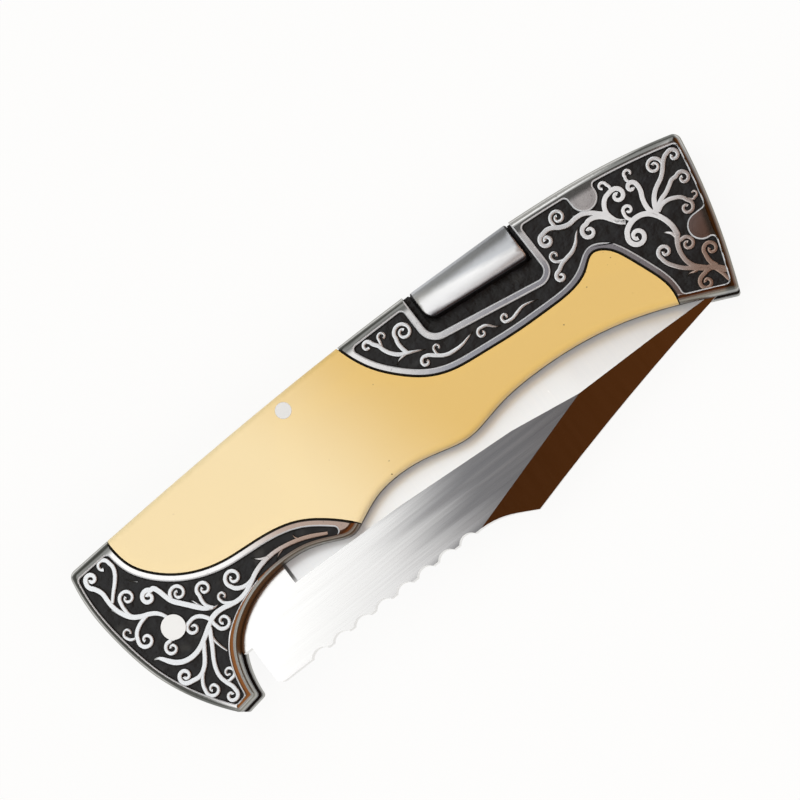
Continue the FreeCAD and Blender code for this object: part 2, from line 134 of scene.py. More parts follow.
class Tone:
    """A value in a node tree; sums and products of tones add Math nodes."""

    def __init__(self, tree, socket):
        self.tree = tree
        self.socket = socket

    def node(self, kind, settings=None, inputs=None, output=0):
        """Output of a new node; the settings are made before its sockets are filled."""
        made = self.tree.nodes.new("ShaderNode" + kind)
        for name, value in (settings or {}).items():
            if name == "stops":
                fill_ramp(made.color_ramp, value)
            else:
                setattr(made, name, value)
        for name, value in (inputs or {}).items():
            if isinstance(value, Tone):
                self.tree.links.new(value.socket, made.inputs[name])
            else:
                made.inputs[name].default_value = value
        return Tone(self.tree, made.outputs[output])

    def math(self, operation, first, second=0.0):
        """Result of a Math node on one or two values."""
        return self.node("Math", {"operation": operation}, {0: first, 1: second})

    def __add__(self, other):
        return self.math("ADD", self, other)

    def __radd__(self, other):
        return self.math("ADD", other, self)

    def __sub__(self, other):
        return self.math("SUBTRACT", self, other)

    def __rsub__(self, other):
        return self.math("SUBTRACT", other, self)

    def __mul__(self, other):
        return self.math("MULTIPLY", self, other)

    def __abs__(self):
        return self.math("ABSOLUTE", self)

    def between(self, low, high):
        """0 below the low value, 1 above the high one, with a soft step from one to the other."""
        return self.node(
            "MapRange", {"interpolation_type": "SMOOTHSTEP"}, {0: self, 1: low, 2: high})

    def noise(self, scale, detail=2.0, roughness=0.5, stretch=(1, 1, 1)):
        """Noise of a size over a place, stretched along the axes."""
        place = self.node("Mapping", inputs={"Vector": self, "Scale": stretch})
        return place.node(
            "TexNoise", inputs={"Vector": place, "Scale": scale, "Detail": detail, "Roughness": roughness})

    def mix(self, first, second):
        """Colour between two others, with this tone as the share of the second."""
        return self.node("Mix", {"data_type": "RGBA"}, {0: self, 6: first, 7: second}, 2)

    def axis(self, index):
        """One coordinate of a place: 0 along the handle, 1 towards the spine, 2 upwards."""
        return self.node("SeparateXYZ", inputs={0: self}, output=index)

    def bump(self, strength, distance):
        """Normal of a surface with this tone as its height."""
        return self.node("Bump", inputs={"Strength": strength, "Distance": distance, "Height": self})


def fill_ramp(ramp, stops):
    """Sets a colour ramp's stops, each a place and a colour."""
    while len(ramp.elements) < len(stops):
        ramp.elements.new(1.0)
    for element, (place, shade) in zip(ramp.elements, stops):
        element.position = place
        element.color = shade


def colour(red, green, blue):
    """Linear colour from the eight bit numbers of a picture."""
    def linear(value):
        share = value / 255
        return share / 12.92 if share <= 0.04045 else ((share + 0.055) / 1.055) ** 2.4
    return (linear(red), linear(green), linear(blue), 1.0)


def new_finish(name):
    """A new material, its shader and the place on the piece in object coordinates."""
    material = bpy.data.materials.new(name)
    material.use_nodes = True
    tree = material.node_tree
    shader = tree.nodes["Principled BSDF"]
    coordinates = tree.nodes.new("ShaderNodeTexCoord")
    return material, shader, Tone(tree, coordinates.outputs["Object"])


def feed(shader, **sockets):
    """Sets or links sockets of a shader by name, with _ for the spaces."""
    for name, value in sockets.items():
        socket = shader.inputs[name.replace("_", " ")]
        if isinstance(value, Tone):
            value.tree.links.new(value.socket, socket)
        else:
            socket.default_value = value


# Finishes

def cream_resin():
    """Polished resin, paler towards the front, partly its own tone and partly a painted highlight, with a
    few dark specks.
    """
    material, shader, place = new_finish("cream_resin")
    cloud = place.noise(25.0, 2.0)
    # Paler towards the front: partly the resin's own tone, partly a painted highlight
    along = (place.axis(0) + place.axis(1) * 0.3 + (cloud - 0.5) * 0.01).between(-0.022, 0.006)
    body = along.mix(colour(251, 233, 183), colour(232, 198, 116))
    specks = place.noise(1500.0, 0.0).between(0.8, 0.82) * place.noise(120.0).between(0.56, 0.62)
    feed(shader, Base_Color=(specks * 0.85).mix(body, colour(96, 66, 30)), IOR=1.5)
    feed(shader, Roughness=0.36 + cloud * 0.08, Coat_Weight=0.15, Coat_Roughness=0.3)
    return material


def plan(place):
    """Millimetres along the handle and towards the spine from the blade pivot."""
    return (place.axis(0) - pivot.x) * 1000, (place.axis(1) - pivot.y) * 1000


def painted_brown_reflection(place):
    """Share of a painted brown reflection, along the guard's arm and in the butt's lower corner."""
    x, y = plan(place)
    return x.between(13, 25) - x.between(40, 42) + (x - y * 1.2).between(96, 110)


def from_outline(place):
    """Millimetres in from the handle's outline at the spine, the front end and the butt."""
    x, y = plan(place)
    spine = 17.96 + x * (0.0874 - x * 0.00105) - y
    front = x + 9.45 - (y - 10) * (y - 10) * 0.0107
    butt = 109.2 + y * (0.3 - y * 0.006) - x
    return place.math("MINIMUM", place.math("MINIMUM", spine, front), butt)


def polished_cast():
    """Polished rim of a cast bolster, with painted shade round the outside and down its walls.

    It has a painted bluish reflection beside the middle of the scale, and a painted brown reflection in two
    places.
    """
    material, shader, place = new_finish("polished_cast")
    height = abs(place.axis(2) - middle_height)
    inwards = from_outline(place)
    # Painted shade: darker in a band in from the outline and down the walls below the crest
    painted_rim_shade = inwards.between(0.3, 0.7) - inwards.between(1.5, 2.6)
    crest = height.between(cover_height - 0.8 * mm, cover_height - 0.12 * mm)
    cloud = place.noise(300.0, 3.0, 0.6)
    pores = place.noise(1700.0, 1.0).between(0.68, 0.76)
    x, y = plan(place)
    # Painted reflections: bluish beside the middle of the scale, brown along the guard's arm and in the
    # butt's lower corner
    painted_bluish_reflection = x.between(52, 62) * (1 - y.between(8, 12)) * 0.75
    silver = cloud.mix(colour(224, 223, 223), colour(242, 241, 240))
    bright = painted_bluish_reflection.mix(silver, colour(166, 168, 180))
    top = (painted_brown_reflection(place) * 0.75).mix(bright, colour(146, 110, 84))
    body = (painted_rim_shade * 0.85).mix(crest.mix(colour(128, 127, 116), top), colour(84, 86, 82))
    feed(shader, Base_Color=(pores * 0.35).mix(body, colour(92, 88, 84)), Metallic=1.0)
    feed(shader, Roughness=0.3 - crest * 0.2 + cloud * 0.06)
    feed(shader, Normal=place.noise(700.0, 3.0, 0.6).bump(0.06, 0.04 * mm))
    return material


def antiqued_field():
    """Blackened floor of a bolster, mottled and rubbed lighter in places."""
    material, shader, place = new_finish("antiqued_field")
    grain = place.noise(1100.0, 4.0, 0.65)
    wrinkles = place.noise(520.0, 2.0)
    body = wrinkles.between(0.4, 0.7).mix(colour(4, 5, 6), colour(13, 15, 19))
    rubbed_and_painted_sheen = place.noise(210.0, 2.0).between(0.6, 0.74)
    feed(shader, Base_Color=(rubbed_and_painted_sheen * 0.12).mix(body, colour(108, 106, 100)))
    feed(shader, Roughness=0.24 + grain * 0.2)
    feed(shader, Normal=(grain * 0.4 + wrinkles).bump(0.45, 0.3 * mm))
    return material


def black_corner():
    """Black at the foot of walls and scrolls and down the saddle's walls: partly antiquing and dark joints,
    partly painted shade.
    """
    material, shader, place = new_finish("black_corner")
    grain = place.noise(1300.0, 3.0)
    feed(shader, Base_Color=grain.mix(colour(6, 6, 7), colour(17, 17, 18)), Roughness=0.45 + grain * 0.2)
    return material


def raised_scroll():
    """Polished crest of a scroll, darker low down, partly its antiquing and partly painted shade, with a
    painted sheen whitest in the middle of the butt and a painted brown reflection in two places.
    """
    material, shader, place = new_finish("raised_scroll")
    height = abs(place.axis(2) - middle_height) - field_height
    cloud = place.noise(450.0, 3.0)
    # Darker low down: partly the antiquing on the flanks, partly painted shade
    crest = height.between(0.16 * mm, 0.26 * mm)
    x, y = plan(place)
    # Painted sheen: less metallic, so whiter, round the middle of the butt
    rubbed_and_painted_sheen = 1 - ((x - 98) * (x - 98) + (y - 8) * (y - 8)).between(4, 110)
    bright = cloud.mix(colour(220, 224, 228), colour(243, 247, 250))
    # Painted brown reflection in two places
    top = (painted_brown_reflection(place) * 0.8).mix(bright, colour(156, 118, 90))
    feed(shader, Base_Color=crest.mix(colour(52, 50, 46), top), Metallic=0.8 - rubbed_and_painted_sheen * 0.55)
    feed(shader, Roughness=0.18 + cloud * 0.08)
    feed(shader, Normal=place.noise(900.0, 3.0).bump(0.05, 0.04 * mm))
    return material


def brushed_steel(name, body, stretch, scale, depth, roughness, metallic=1.0):
    """Satin steel with brush marks along the axis that is stretched least."""
    material, shader, place = new_finish(name)
    marks = place.noise(scale, 3.0, 0.6, stretch)
    cloud = place.noise(120.0, 2.0)
    light = [min(1.0, channel * 1.3) for channel in body]
    feed(shader, Base_Color=(marks * 0.7 + cloud * 0.3).mix(body, light), Metallic=metallic)
    feed(shader, Roughness=roughness + marks * 0.08)
    feed(shader, Normal=marks.bump(depth, 0.03 * mm))
    return material


def ground_flat():
    """Flat of the blade, brushed along its length, with a painted reflection that is bright by the tang and
    greyer towards the clip.
    """
    material, shader, place = new_finish("blade_flat")
    marks = place.noise(1500.0, 3.0, 0.6, (0.02, 1, 1))
    streaks = place.noise(420.0, 2.0, 0.5, (0.05, 1, 1))
    along = place.axis(0) - pivot.x + (streaks - 0.5) * 0.022 + (marks - 0.5) * 0.014
    # Painted reflection: the flat turns grey towards the clip
    painted_grey_reflection = along.between(30 * mm, 54 * mm)
    bright = marks.mix(colour(245, 245, 244), colour(255, 255, 254))
    grey = marks.mix(colour(134, 135, 138), colour(170, 170, 171))
    feed(shader, Base_Color=painted_grey_reflection.mix(bright, grey), Metallic=1.0)
    feed(shader, Roughness=0.1 + marks * 0.08)
    feed(shader, Normal=marks.bump(0.08, 0.03 * mm))
    return material


def hollow_bevel():
    """Bevel of the blade, ground a little hollow, with fine marks across it.

    The corner that it starts from has a painted black shadow.
    """
    material, shader, place = new_finish("blade_bevel")
    mark_depth = 0.004 * mm
    marks = place.noise(2200.0, 3.0, 0.6, (1, 0.05, 0.05))
    twist = 0.035 - (place.axis(0) - pivot.x - 55 * mm)
    x, y = plan(place)
    # Painted shadow: a black line in the corner where the bevel starts
    corner = (1 - x.between(19.96, 20.16)) * y.between(-7.0, -4.4)
    ground = marks.mix(colour(240, 246, 250), colour(251, 254, 255))
    feed(shader, Base_Color=(corner * 0.9).mix(ground, colour(14, 13, 12)), Metallic=0.4 - corner * 0.4)
    feed(shader, Roughness=0.2 + marks * 0.1)
    feed(shader, Normal=(place.axis(1) * twist + marks * mark_depth).bump(1.0, 1.0))
    return material


def polished_saddle():
    """Polished thumb saddle with painted reflection bands: a painted highlight low on its round, painted
    shade along its lower edge, and greyer towards the spine.
    """
    material, shader, place = new_finish("saddle_steel")
    marks = place.noise(600.0, 3.0, 0.6, (0.15, 1, 1))
    x, y = plan(place)
    # Painted highlight and shade in bands across the saddle, the highlight narrowing towards the rear
    above_edge = y - 13.98 + (x - 62.7) * 0.098 + (marks - 0.5) * 0.8
    narrowed = above_edge * (0.09 + (x - 62.7) * 0.0045)
    painted_bands = [(0.0, colour(56, 57, 63)), (0.035, colour(84, 86, 94)), (0.1, colour(224, 225, 227)),
             (0.34, colour(232, 233, 234)), (0.48, colour(190, 193, 197)), (1.0, colour(150, 152, 156))]
    body = above_edge.node("ValToRGB", {"stops": painted_bands}, {0: narrowed})
    feed(shader, Base_Color=body, Metallic=0.8, Roughness=0.14 + marks * 0.1)
    feed(shader, Normal=marks.bump(0.05, 0.03 * mm))
    return material


def washer_bronze():
    """Plain bronze of the pivot washers."""
    material, shader, place = new_finish("washer_bronze")
    cloud = place.noise(700.0, 3.0)
    feed(shader, Base_Color=cloud.mix(colour(176, 124, 62), colour(206, 160, 92)), Metallic=1.0)
    feed(shader, Roughness=0.3 + cloud * 0.15)
    return material


resin = cream_resin()
cast = polished_cast()
antiqued_and_painted_shade = antiqued_field()
black = black_corner()
scroll_metal = raised_scroll()
flat_steel = ground_flat()
bevel_steel = hollow_bevel()
swedge_steel = brushed_steel("blade_swedge", colour(146, 132, 112), (1, 0.1, 0.1), 900.0, 0.02, 0.1)
edge_steel = brushed_steel("blade_edges", colour(222, 221, 219), (1, 1, 0.06), 900.0, 0.08, 0.3)
spine_steel = brushed_steel("spine_steel", colour(176, 174, 172), (0.05, 1, 1), 900.0, 0.12, 0.26)
# Painted shade: the liners' steel is nearly black, so that their edges read as a dark shaded line
liner_steel = brushed_steel("liner_steel", colour(34, 30, 26), (0.6, 1, 0.1), 900.0, 0.12, 0.4, 0.6)
# Painted highlight: the rounded rim edges are pale and mostly not metal, so they show a bright line
rim_steel = brushed_steel("rim_edges", colour(196, 200, 204), (1, 1, 1), 500.0, 0.03, 0.26, 0.25)
pin_steel = brushed_steel("pin_steel", colour(222, 221, 219), (1, 1, 1), 300.0, 0.02, 0.16)
saddle_steel = polished_saddle()
bronze = washer_bronze()


# Pieces from the solids

def merged(node):
    """The node's mesh with its loose triangles merged, in a new bmesh."""
    shape = bmesh.new()
    shape.from_mesh(nodes[node].data)
    bmesh.ops.remove_doubles(shape, verts=shape.verts, dist=merging_reach)
    return shape


def finished(shape, name, body, finishes, sharp=32, flats=False):
    """Object of a bmesh, smooth but for its sharp edges and, if asked, the edges of its level faces.

    It rides a body, unless none is named.
    """
    for face in shape.faces:
        face.smooth = True
    for edge in shape.edges:
        level = [abs(side.normal.z) > quite_level for side in edge.link_faces]
        border = flats and any(level) and not all(level)
        edge.smooth = edge.calc_face_angle(0) < math.radians(sharp) and not border
    mesh = bpy.data.meshes.new(name)
    shape.to_mesh(mesh)
    shape.free()
    if "custom_normal" in mesh.attributes:
        mesh.attributes.remove(mesh.attributes["custom_normal"])
    for finish in finishes:
        mesh.materials.append(finish)
    piece = bpy.data.objects.new(name, mesh)
    bpy.context.scene.collection.objects.link(piece)
    if body:
        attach(piece, body)
    return piece


def smooth_piece(node, body, finish):
    """A node's own shape, merged and smoothed."""
    shape = merged(node)
    for face in shape.faces:
        face.material_index = 0
    piece = finished(shape, node + "_piece", body, [finish])
    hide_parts(node)


def beside_scale(edge, wall, scale):
    """Whether the place just outside a wall's top edge lies over the scale."""
    place = (edge.verts[0].co + edge.verts[1].co) / 2 + wall.normal * probe_step
    outward = 1 if place.z > middle_height else -1
    above = place + Vector((0, 0, outward * mm))
    return scale.ray_cast(above, Vector((0, 0, -outward)), probe_depth)[0] is not None


rivet_boxes = [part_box(rivet) for rivet in RIVETS]


def by_rivet(edge):
    """Whether an edge is the rim of a rivet's hole, ground flush with the rivet."""
    for low, high in rivet_boxes:
        reach = (high.x - low.x) / 2 + rivet_margin
        if all((end.co - (low + high) / 2).xy.length < reach for end in edge.verts):
            return True
    return False


def crisp_edges(shape, scale):
    """Top edges of the upright walls in two lists: in the joint beside the scale, and elsewhere."""
    joint, rim = [], []
    for edge in shape.edges:
        tops = [abs(end.co.z - middle_height) for end in edge.verts]
        sides = sorted(edge.link_faces, key=lambda side: abs(side.normal.z))
        if min(tops) < cover_height - rim_zone or len(sides) < 2 or by_rivet(edge):
            continue
        if abs(sides[0].normal.z) < upright_wall and abs(sides[1].normal.z) > rim_top:
            (joint if beside_scale(edge, sides[0], scale) else rim).append(edge)
    return joint, rim


def soften(shape, edges, finish):
    """Rounds edges and gives the rounding a finish."""
    rounded = bmesh.ops.bevel(
        shape, geom=edges, offset=rim_softening, offset_type="OFFSET", affect="EDGES", segments=4,
        profile=0.5, material=-1, clamp_overlap=False)
    for face in rounded["faces"]:
        face.material_index = finish


def on_field(face):
    """Whether a face is a level floor of a sunk field."""
    height = abs(face.calc_center_median().z - middle_height)
    return abs(face.normal.z) > level_floor and abs(height - field_height) < same_place


def blacken(shape):
    """Gives the sunk field, its walls and the walls of the saddle's recess the blackened finish."""
    low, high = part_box("thumb_saddle")
    for face in shape.faces:
        heights = [abs(corner.co.z - middle_height) for corner in face.verts]
        centre = face.calc_center_median()
        on_floor = abs(min(heights) - field_height) < same_place
        upright = abs(face.normal.z) < upright_wall
        level = abs(face.normal.z) > level_floor
        along = low.x - recess_margin < centre.x < high.x + recess_margin
        in_recess = upright and along and centre.y > low.y - recess_margin
        face.material_index = BLACKENED if in_recess or on_floor and (upright or level) else POLISHED


def bolster(node):
    """Bolster with a polished rim round its blackened field, and a blackened recess for the saddle."""
    shape = merged(node)
    flat = math.radians(flat_angle)
    bmesh.ops.dissolve_limit(shape, angle_limit=flat, verts=shape.verts[:], edges=shape.edges[:])
    blacken(shape)
    scale = BVHTree.FromBMesh(merged(node.split("_")[0] + "_scale"))
    joint, rim = crisp_edges(shape, scale)
    soften(shape, joint, CORNER)
    # Painted highlight: the rounded edges round the fields take the pale rim finish
    soften(shape, [edge for edge in rim if edge.is_valid], RIM)
    shape.normal_update()
    # Painted shade: a black ring round the edge of each field floor, at the foot of its walls
    floors = [face for face in shape.faces if on_field(face)]
    ring = bmesh.ops.inset_region(shape, faces=floors, thickness=black_width, use_even_offset=True)
    for face in ring["faces"]:
        face.material_index = CORNER
    shape.normal_update()
    finishes = [cast, antiqued_and_painted_shade, rim_steel, black]
    piece = finished(shape, node + "_piece", "handle", finishes, flats=True)
    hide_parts(node)


def liner(node):
    """Liner with brushed edges painted nearly black as shade, blackened where the recess shows its outer
    face.
    """
    shape = merged(node)
    for face in shape.faces:
        height = abs(face.calc_center_median().z - middle_height)
        face.material_index = 1 if height > liner_height - same_place else 0
    piece = finished(shape, node + "_piece", "handle", [liner_steel, antiqued_and_painted_shade])
    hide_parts(node)


def eased_tail(shape):
    """Takes the lower corner off a bar's rear end, which goes down to the root of the lock spring."""
    rear = max(vert.co.x for vert in shape.verts)
    end = [vert for vert in shape.verts if vert.co.x > rear - tail_zone]
    low = min(vert.co.y for vert in end) + same_place
    corner = [edge for edge in shape.edges if all(vert in end and vert.co.y < low for vert in edge.verts)]
    bmesh.ops.bevel(
        shape, geom=corner, offset=tail_easing, offset_type="OFFSET", affect="EDGES", segments=3,
        profile=0.5, material=-1)


def spine_bar(node, body, outer_end, longer=0.0):
    """Bar between the liners, bright along the spine and at its outer end, with painted shade, the
    blackened finish, on its faces inside the knife.

    Its front end can be drawn out to be longer.
    """
    shape = merged(node)
    if node == "lock_bar":
        eased_tail(shape)
    front = min(vert.co.x for vert in shape.verts)
    front_end = [vert for vert in shape.verts if vert.co.x < front + same_place]
    bmesh.ops.translate(shape, vec=(-longer, 0, 0), verts=front_end)
    # Painted shade: the faces inside the knife take the blackened finish
    for face in shape.faces:
        outside = face.normal.y > 0.5 or face.normal.x * outer_end > 0.5
        face.material_index = 0 if outside else 1
    piece = finished(shape, node + "_piece", body, [spine_steel, antiqued_and_painted_shade])
    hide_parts(node)


def thumb_saddle():
    """Polished saddle, with painted shade: the black finish down its lower side wall and its end walls
    beside the recess.
    """
    shape = merged("thumb_saddle")
    steep_side, underside, steep_end, endward = 0.6, -0.2, 0.9, 0.3
    # Painted shade: the lower side wall and the end walls take the black finish
    for face in shape.faces:
        lean = face.normal
        side_wall = abs(lean.z) < steep_side and lean.y < underside
        end_wall = abs(lean.z) < steep_end and abs(lean.x) > endward
        face.material_index = 1 if side_wall or end_wall else 0
    piece = finished(shape, "thumb_saddle_piece", "lock_bar", [saddle_steel, black])
    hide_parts("thumb_saddle")


def lock_spring():
    """Leaf spring held by its tail in the back spacer and pressed at its tip by the lock bar; it is cut
    across into short lengths up to where it is held.
    """
    shape = merged("lock_spring")
    low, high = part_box("lock_spring")
    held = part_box("back_spacer")[0].x
    for step in range(1, spring_cuts):
        cut = Vector((low.x + (held - low.x) * step / spring_cuts, 0, 0))
        whole = shape.verts[:] + shape.edges[:] + shape.faces[:]
        bmesh.ops.bisect_plane(shape, geom=whole, plane_co=cut, plane_no=(1, 0, 0))
    for face in shape.faces:
        face.material_index = 0
    piece = finished(shape, "lock_spring_piece", None, [spine_steel])
    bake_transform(piece)
    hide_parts("lock_spring")


def blade():
    """Blade whose flats, bevels, swedges and edges have their own grind marks."""
    shape = merged("blade")
    for face in shape.faces:
        normal = face.normal
        if abs(normal.z) > blade_flat:
            face.material_index = FLAT
        elif abs(normal.z) < blade_edge:
            face.material_index = EDGE
        else:
            face.material_index = BEVEL if normal.y > 0 else SWEDGE
    finishes = [flat_steel, bevel_steel, swedge_steel, edge_steel]
    piece = finished(shape, "blade_piece", "blade", finishes, sharp=4)
    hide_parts("blade")


# Scroll ornament: half width at the start, half width of the stem, points of the stem, and the curl
# that ends it: centre, radius, starting angle and turns, which are negative clockwise

FRONT_SCROLLS = [
    (0.3, 0.4, [(0.2, 1.9), (-0.6, 3.2), (-1.9, 4.1), (-3.2, 4.6), (-4.5, 5.5), (-5.4, 6.9), (-5.9, 8.5),
                  (-6.0, 10.0), (-6.0, 11.4), (-6.5, 12.6), (-7.15, 13.5)], (-6.1, 14.3, 1.0, 170, -1.25)),
    (0.3, 0.36, [(-5.6, 9.2), (-4.4, 10.5), (-3.3, 11.6), (-2.4, 12.8), (-2.05, 13.9)],
     (-3.3, 14.85, 1.15, -10, 0.85)),
    (0.06, 0.26, [(-6.9, 8.9), (-6.3, 8.1), (-5.7, 6.9)], None),
    (0.06, 0.24, [(-5.65, 12.7), (-5.95, 11.8), (-6.0, 10.8)], None),
    (0.3, 0.34, [(-3.9, 5.0), (-4.5, 5.9), (-4.65, 7.2)], (-3.2, 8.35, 1.35, 185, -1.45)),
    (0.3, 0.36, [(-1.9, 4.1), (-3.1, 4.0), (-4.3, 3.6), (-5.4, 2.8)], (-4.75, 1.1, 1.35, 145, 1.35)),
    (0.2, 0.28, [(-5.3, 2.9), (-6.0, 2.4), (-6.7, 2.6)], (-6.5, 3.75, 0.85, 225, -0.9)),
    (0.08, 0.42, [(8.2, -1.5), (7.0, -1.45), (6.0, -0.85), (5.1, 0.1), (4.2, 1.2), (3.2, 2.4), (2.3, 3.6),
                  (1.85, 4.9), (1.55, 6.1), (1.05, 7.0)], (-0.4, 6.35, 1.2, 35, 1.5)),
    (0.3, 0.34, [(2.9, 2.8), (2.45, 3.6)], (3.85, 3.95, 1.4, 178, -1.55)),
    (0.06, 0.28, [(4.55, 2.1), (5.0, 1.35), (5.4, 0.2), (5.9, -0.8)], None),
    (0.3, 0.34, [(7.0, -1.4), (6.35, -0.5), (6.2, 0.6)], (7.6, 1.95, 1.3, 200, -1.5)),
    (0.35, 0.36, [(17.6, -0.6), (15.9, -1.1), (14.4, -1.75), (12.9, -1.75), (11.75, -1.15)],
     (12.45, 0.45, 1.5, 225, -1.55)),
    (0.45, 0.4, [(5.2, -2.9), (6.6, -2.45), (8.1, -2.45), (9.7, -2.8), (11.3, -2.95), (12.8, -2.65),
                 (14.3, -1.95), (16.0, -1.1), (18.0, -0.55), (20.0, -0.4)], None),
    (0.36, 0.34, [(18.8, -0.45), (20.4, -0.42), (22.2, -0.65), (24.3, -1.15), (26.5, -2.0), (28.9, -3.25)],
     None),
    (0.25, 0.28, [(10.4, -2.75), (9.5, -2.35), (8.8, -1.7)], (9.3, -0.85, 0.75, 210, -0.95)),
    (0.06, 0.28, [(16.6, 1.25), (17.3, 0.5), (18.3, -0.15), (19.4, -0.45)], None),
    (0.06, 0.24, [(19.5, -1.75), (20.4, -1.2), (21.6, -0.75)], None),
    (0.12, 0.22, [(24.2, 0.0), (24.3, -0.6), (24.9, -1.3)], None),
    (0.35, 0.34, [(5.6, -2.8), (5.55, -3.6)], (7.0, -4.15, 1.35, 175, 1.4)),
    (0.06, 0.42, [(-6.1, -2.2), (-5.2, -2.35), (-4.5, -3.0), (-3.8, -4.0), (-2.9, -4.9), (-1.6, -5.5),
                  (0.0, -5.6), (1.5, -5.2), (3.0, -4.4), (4.5, -3.45), (5.6, -2.75)], None),
    (0.35, 0.34, [(5.6, -2.8), (5.0, -1.75), (4.2, -1.05), (3.3, -0.8)], (2.5, -2.05, 1.15, 85, 1.3)),
    (0.3, 0.34, [(-1.0, -1.6), (-1.6, -1.35)], (-2.2, -2.55, 1.2, 70, 1.45)),
    (0.35, 0.38, [(2.5, -4.9), (1.8, -5.9), (1.0, -7.1), (0.0, -8.2), (-1.3, -8.85), (-2.6, -8.75)],
     (-3.15, -7.4, 1.2, 240, -1.4)),
    (0.3, 0.34, [(-0.3, -8.5), (-1.1, -9.3), (-1.75, -10.3)], (-0.85, -11.8, 1.25, 155, 1.4)),
    (0.4, 0.36, [(4.6, -3.6), (3.8, -5.1), (2.9, -6.7), (2.0, -8.2), (1.4, -9.7), (1.25, -11.0),
                 (1.55, -12.3), (1.95, -13.4)], (0.95, -14.45, 1.1, 20, -1.25)),
    (0.25, 0.3, [(1.5, -12.1), (2.1, -12.3)], (2.75, -11.25, 1.05, -105, 1.3)),
    (0.3, 0.2, [(4.2, -4.2), (4.0, -5.4), (4.15, -6.7), (4.65, -8.3)], None),
    (0.06, 0.16, [(-1.6, 10.9), (-1.0, 10.1), (-0.3, 9.4)], None),
]

